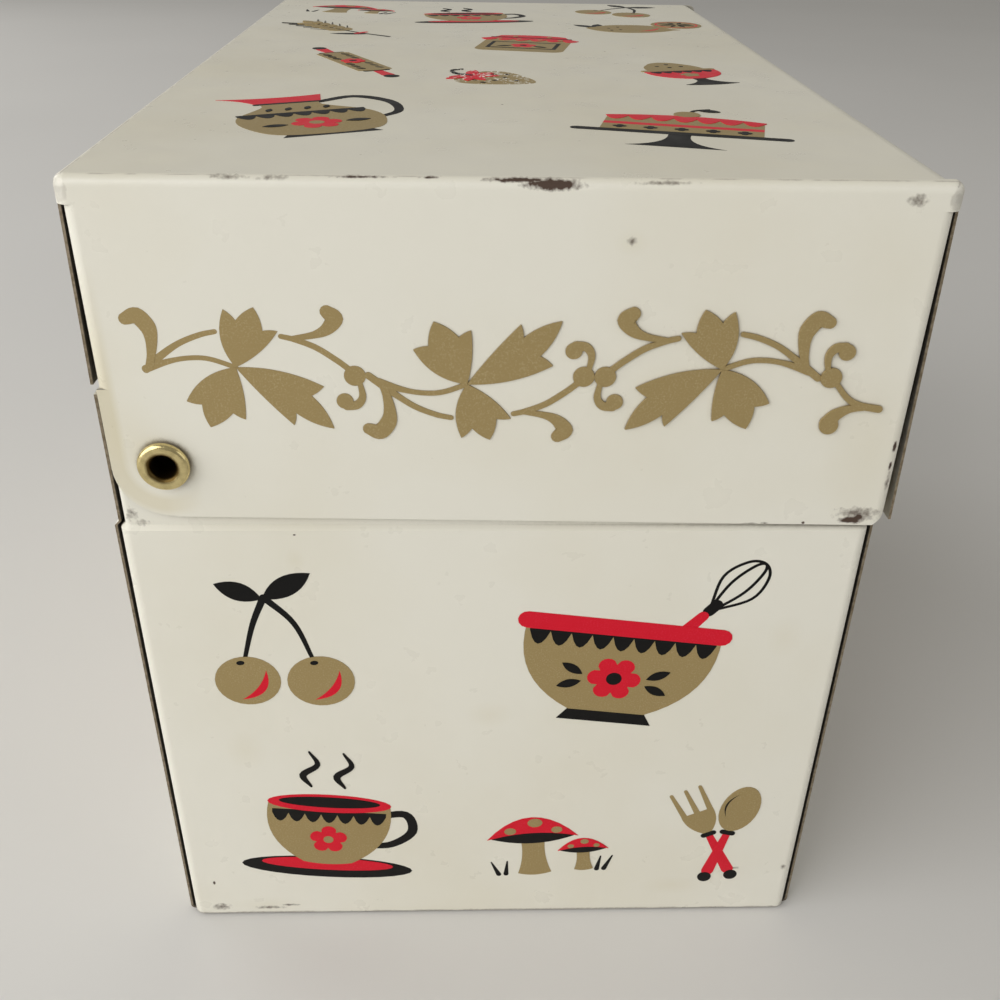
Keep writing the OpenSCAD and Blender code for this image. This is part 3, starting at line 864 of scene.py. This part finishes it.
def walls():
    """Where each printed face lies: its foot's middle in the frame, with its right and its up."""
    # The skirts lean out towards their feet, by 0.55 mm in 33.8 at the front and 0.3 mm in 19.6 at the back
    return {
        "base_left": face_place((BASE_LOW.x, MID_Y, 0), (0, -1, 0)),
        "base_right": face_place((BASE_HIGH.x, MID_Y, 0), (0, 1, 0)),
        "base_front": face_place((0, BASE_LOW.y, 0), (1, 0, 0)),
        "base_back": face_place((0, BASE_HIGH.y, 0), (-1, 0, 0)),
        "lid_left": face_place((LID_LOW.x, MID_Y, 0), (0, -1, 0)),
        "lid_right": face_place((LID_HIGH.x, MID_Y, 0), (0, 1, 0)),
        "lid_front": face_place((0, LID_LOW.y, LID_LOW.z), (1, 0, 0), (0, 0.55, 33.8)),
        "lid_back": face_place((0, LID_HIGH.y, LID_HIGH.z - BACK_SKIRT), (-1, 0, 0), (0, -0.3, 19.6)),
        "lid_top": face_place((0, 0, LID_HIGH.z), (0, -1, 0), (1, 0, 0)),
    }


def new_object(name, data):
    """Puts a mesh, lamp or camera into the scene."""
    made = bpy.data.objects.new(name, data)
    bpy.context.scene.collection.objects.link(made)
    return made


def print_wall(name, wall, motifs):
    """One piece of ink films on a wall. Each motif is (shapes, wear), and each shape lies over the last."""
    place, body = walls()[wall], wall.split("_")[0]
    film = bpy.context.scene.card_box_print.film / MM
    mesh = bpy.data.meshes.new(name)
    bm = bmesh.new()
    wear = bm.verts.layers.float.new("wear")
    for shapes, worn in motifs:
        for layer, (ink, ring) in enumerate(shapes):
            ring = ring if signed_area(ring) > 0 else ring[::-1]
            # Half a film off the enamel, and one film higher for each shape
            low, high = ([bm.verts.new(place @ Vector((p.x, p.y, z))) for p in ring]
                         for z in (film / 2, film * (2 + layer)))
            for v in low + high:
                v[wear] = worn
            faces = [bm.faces.new(high), bm.faces.new(low[::-1])]
            faces += [bm.faces.new((low[i - 1], low[i], high[i], high[i - 1])) for i in range(len(ring))]
            for f in faces:
                f.material_index = ink
    bm.normal_update()
    bmesh.ops.triangulate(bm, faces=[f for f in bm.faces if len(f.verts) > 4], ngon_method="EAR_CLIP")
    bm.to_mesh(mesh)
    bm.free()
    for ink in ink_set():
        mesh.materials.append(ink)
    piece = new_object(name, mesh)
    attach(piece, body)


def ink_set():
    """The three inks, made once and shared by every print."""
    colours = bpy.context.scene.card_box_print
    inks = (("bronze_powder_ink", colours.gold, 0.3, 0.45, "BBA980"),
            ("red_screen_ink", colours.red, 0.0, 0.4, "E02C44"),
            ("black_screen_ink", colours.black, 0.0, 0.46, "12100E"))
    return [bpy.data.materials.get(ink[0]) or screen_ink(*ink) for ink in inks]


def sized(motif, x, y, turn=0, size=1, worn=0.0):
    """A motif at its place on a face, with how worn it is."""
    share = bpy.context.scene.card_box_print.motif_size
    return placed(motif(), x, y, turn, size * share), worn


class CARDBOX_OT_enamel(bpy.types.Operator):
    """Give both shells their enamel outside and tinplate inside"""

    bl_idname = "card_box.enamel"
    bl_label = "Enamel the Shells"

    def execute(self, context):
        # The base's sheet is doubled inwards at the rim; the lid has no such hem
        finishes = {
            "base_shell": enamelled_tinplate("baked_enamel_base", BASE_LOW, BASE_HIGH, -1, HEM),
            "lid_shell": enamelled_tinplate("baked_enamel_lid", LID_LOW, LID_HIGH, 1, 0),
        }
        for name, material in finishes.items():
            NODES[name].material_slots[0].material = material
        return {"FINISHED"}


class CARDBOX_OT_brass(bpy.types.Operator):
    """Give the eyelets and washers of the hinge their aged brass"""

    bl_idname = "card_box.brass"
    bl_label = "Age the Hinge Brass"

    def execute(self, context):
        brass = aged_brass()
        for name in ("eyelet_left", "eyelet_right", "washer_left", "washer_right"):
            NODES[name].material_slots[0].material = brass
        return {"FINISHED"}


class CARDBOX_OT_borders(bpy.types.Operator):
    """Print the leaf border round the lid"""

    bl_idname = "card_box.borders"
    bl_label = "Print the Leaf Borders"

    def execute(self, context):
        level = context.scene.card_box_print.border_height / MM
        # On the ends the border stands 2 mm right of the middle, clear of the eyelet
        for side, worn in (("left", 0.02), ("right", 0.05)):
            print_wall("border_" + side, "lid_" + side, [(placed(leaf_border(3), 2.05, level), worn)])
        print_wall("border_front", "lid_front", [(placed(leaf_border(5), 0, level - LID_LOW.z / MM), 0.04)])
        print_wall("border_back", "lid_back", [(placed(leaf_border(5), 0, 9.8, size=0.98), 0.06)])
        return {"FINISHED"}


class CARDBOX_OT_end_prints(bpy.types.Operator):
    """Print the kitchen motifs on both ends of the base"""

    bl_idname = "card_box.end_prints"
    bl_label = "Print the Ends"

    def execute(self, context):
        left = [
            sized(bowl_and_whisk, 14, 43, -7, 1.02), sized(cherries, -25, 45, 8, 1.05),
            sized(cup_and_saucer, -21, 15.5, -5, 1.15), sized(mushrooms, 6.5, 14, 4, 0.95),
            sized(fork_and_spoon, 29, 16, 6, 0.95),
        ]
        right = [
            sized(pitcher, -22, 40, 6, 1.15), sized(strawberry, 24, 45, -14, 1.1),
            sized(rolling_pin, 14, 20, 24, 0.95), sized(egg_cup, -26, 13, -4, 0.95),
            sized(sprig, 0, 47, 20, 1.2),
        ]
        print_wall("motifs_left", "base_left", left)
        print_wall("motifs_right", "base_right", right)
        return {"FINISHED"}


class CARDBOX_OT_top_prints(bpy.types.Operator):
    """Print the kitchen motifs on the top of the lid"""

    bl_idname = "card_box.top_prints"
    bl_label = "Print the Top"

    def execute(self, context):
        motifs = [
            sized(pitcher, -22, -42, 24, 1.1), sized(cake_stand, 19, -46, -14, 1.1),
            sized(strawberry, -1, -18, 60, 0.95, worn=0.34), sized(rolling_pin, -20, -6, 118, 0.9),
            sized(egg_cup, 25, -12, 16, 0.95), sized(jam_jar, 5, 14, -12, 1.05, worn=0.1),
            sized(wheat, -25, 26, 40), sized(lemons, 25, 32, 20),
            sized(cup_and_saucer, -4, 44, 10, 1.1),
            sized(cherries, 24, 56, -20, 0.95), sized(mushrooms, -26, 55, -10),
        ]
        print_wall("motifs_top", "lid_top", motifs)
        return {"FINISHED"}


class CARDBOX_OT_wall_prints(bpy.types.Operator):
    """Print the kitchen motifs on the front and back of the base"""

    bl_idname = "card_box.wall_prints"
    bl_label = "Print the Front and Back"

    def execute(self, context):
        front = [
            sized(jam_jar, -52, 40, -6, 1.1), sized(cake_stand, -22, 43, 4, 1.15),
            sized(fork_and_spoon, 4, 36, 10, 0.95), sized(pitcher, 30, 38, -8, 1.15),
            sized(lemons, 54, 46, 10, 0.95), sized(rolling_pin, -40, 13, -14),
            sized(strawberry, -12, 12, 12, 1.05), sized(mixing_bowl, 14, 12, 3, 0.9),
            sized(sprig, 40, 14, 0, 1.1), sized(egg_cup, 56, 16, 8),
        ]
        back = [
            sized(cup_and_saucer, -48, 38, 6, 1.15), sized(wheat, -18, 38, -24, 1.05),
            sized(mixing_bowl, 14, 42, -4, 1.05), sized(cherries, 48, 42, -10, 1.1),
            sized(mushrooms, -34, 12), sized(lemons, 0, 12, 8), sized(rolling_pin, 36, 14, 12),
        ]
        print_wall("motifs_front", "base_front", front)
        print_wall("motifs_back", "base_back", back)
        return {"FINISHED"}


# Stage


def soft_lamp(name, place, side, power):
    """A square soft lamp aimed at the middle of the box."""
    lamp = bpy.data.lights.new(name, "AREA")
    lamp.shape = "SQUARE"
    lamp.size = side
    lamp.energy = power
    obj = new_object(name, lamp)
    obj.location = place
    sight = Vector((0, 0, CAD_BOX[1].z / 2)) - Vector(place)
    obj.rotation_euler = sight.to_track_quat("-Z", "Y").to_euler()


def pale_floor():
    """Matt paper, seamless and pale, with a trace of tone so that it isn't flat."""
    settings = bpy.context.scene.card_box_stage
    material, add = new_material("matt_paper_floor")
    place = here_mm(add)
    tone = add("TexNoise", {"Vector": place, "Scale": 1 / 180, "Detail": 2})
    amount = add("MapRange", [tone, 0.3, 0.7, 0, 0.12])
    darker = tuple(c * 0.8 for c in settings.floor)
    colour = add("Mix", {0: amount, 6: rgba(settings.floor), 7: rgba(darker)}, **OF_COLOURS)
    shader = add("BsdfPrincipled", {"Base Color": colour, "Roughness": 1.0, "IOR": 1.25})
    add("OutputMaterial", [shader])
    mesh = bpy.data.meshes.new("floor")
    bm = bmesh.new()
    bmesh.ops.create_grid(bm, x_segments=4, y_segments=4, size=settings.floor_size / 2)
    bm.to_mesh(mesh)
    bm.free()
    mesh.materials.append(material)
    new_object("floor", mesh)


# Place of the photograph's camera in the frame; its line of sight turned from +X and down from level, and
# its roll, in degrees
CAMERA_PLACE = Vector((-0.16425, 0.00405, 0.12237))
CAMERA_TURN, CAMERA_DOWN, CAMERA_ROLL = -1.985, 30.94, 1.03


class CARDBOX_OT_stage(bpy.types.Operator):
    """Set the floor, the lamps, the surrounding light and the camera"""

    bl_idname = "card_box.stage"
    bl_label = "Set the Stage"

    def execute(self, context):
        scene = context.scene
        settings = scene.card_box_stage
        pale_floor()
        soft_lamp("key_lamp", (-0.42, 0.55, 0.4), 0.8, settings.key)
        soft_lamp("fill_lamp", (-0.3, -0.8, 0.4), 0.6, settings.fill)
        soft_lamp("back_lamp", (0.6, 0.8, 0.5), 0.7, settings.back)
        world = bpy.data.worlds.new("studio")
        world.use_nodes = True
        world.node_tree.nodes.clear()
        add = partial(add_node, world.node_tree)
        add("OutputWorld", [add("Background", [rgba("F3F1EC"), settings.sky])])
        scene.world = world
        scene.view_settings.view_transform = "Standard"

        camera = bpy.data.cameras.new("camera")
        camera.sensor_width = 36
        camera.lens = settings.lens
        camera.clip_start = 0.005
        obj = new_object("camera", camera)
        turn, down = math.radians(CAMERA_TURN), math.radians(CAMERA_DOWN)
        sight = Vector((math.cos(turn) * math.cos(down), math.sin(turn) * math.cos(down), -math.sin(down)))
        level = sight.to_track_quat("-Z", "Y")
        roll = Matrix.Rotation(math.radians(CAMERA_ROLL), 4, "Z")
        obj.matrix_world = Matrix.Translation(CAMERA_PLACE) @ level.to_matrix().to_4x4() @ roll
        scene.camera = obj
        return {"FINISHED"}


class CARDBOX_PT_panel(bpy.types.Panel):
    """The steps and settings of the tin card box"""

    bl_idname = "CARDBOX_PT_panel"
    bl_label = "Tin Card Box"
    bl_space_type = "VIEW_3D"
    bl_region_type = "UI"
    bl_category = "Card Box"

    def draw(self, context):
        for operator in OPERATORS:
            self.layout.operator(operator.bl_idname)
        for name, group in SETTINGS.items():
            box = self.layout.box()
            for key in group.__annotations__:
                box.prop(getattr(context.scene, name), key)


SETTINGS = {
    "card_box_enamel": EnamelSettings,
    "card_box_print": PrintSettings,
    "card_box_brass": BrassSettings,
    "card_box_stage": StageSettings,
}
OPERATORS = (
    CARDBOX_OT_enamel, CARDBOX_OT_brass, CARDBOX_OT_borders, CARDBOX_OT_end_prints, CARDBOX_OT_top_prints,
    CARDBOX_OT_wall_prints, CARDBOX_OT_stage,
)
CLASSES = (*SETTINGS.values(), *OPERATORS, CARDBOX_PT_panel)


def register():
    for cls in CLASSES:
        bpy.utils.register_class(cls)
    for name, group in SETTINGS.items():
        setattr(bpy.types.Scene, name, PointerProperty(type=group))


def unregister():
    for name in SETTINGS:
        delattr(bpy.types.Scene, name)
    for cls in reversed(CLASSES):
        bpy.utils.unregister_class(cls)


def main():
    register()
    bpy.ops.card_box.enamel()
    bpy.ops.card_box.brass()
    bpy.ops.card_box.borders()
    bpy.ops.card_box.end_prints()
    bpy.ops.card_box.top_prints()
    bpy.ops.card_box.wall_prints()
    bpy.ops.card_box.stage()


if __name__ == "__main__":
    main()
